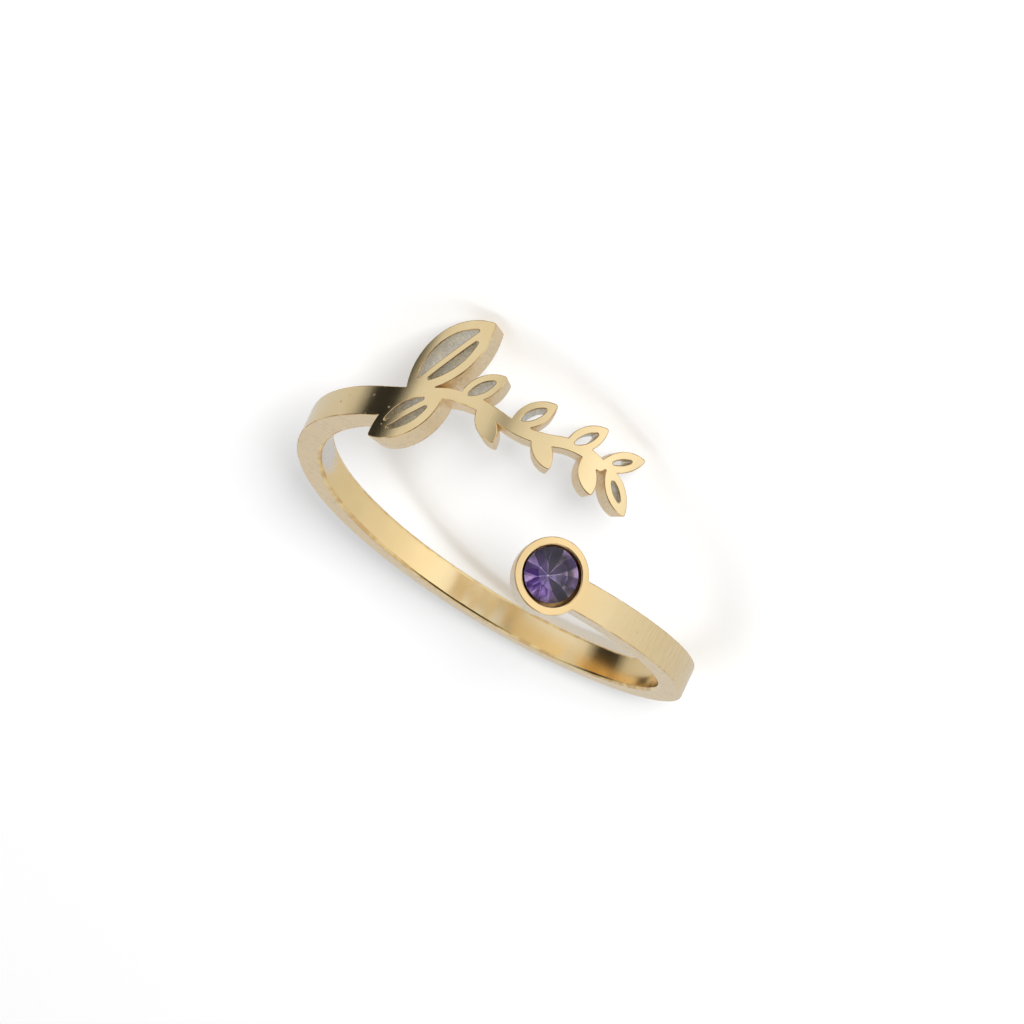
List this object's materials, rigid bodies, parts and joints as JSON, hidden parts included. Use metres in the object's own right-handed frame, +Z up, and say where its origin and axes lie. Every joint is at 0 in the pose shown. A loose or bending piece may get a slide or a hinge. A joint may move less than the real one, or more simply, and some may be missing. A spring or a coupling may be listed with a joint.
{
  "type": "name ring",
  "caption": "Open finger ring cut and bent from one steel plate, with a pierced leaf spray at one end of its band and a round cut stone in a cup at the other.",
  "frame": {"origin": "on the surface that the ring lies on, under the middle of its box", "axes": "+Z up, away from the surface; the spray and the cup face -Y; the axis of the finger leans about 22 degrees from +Z"},
  "size_m": [0.0204, 0.0208, 0.0088],
  "materials": {
    "gold_steel": "polished faces and satin cut walls, gold-coloured coating",
    "violet_stone": "faceted, foiled at the back"
  },
  "bodies": {
    "root": {"ring_plate": "gold_steel", "stone": "violet_stone"}
  },
  "joints": []
}
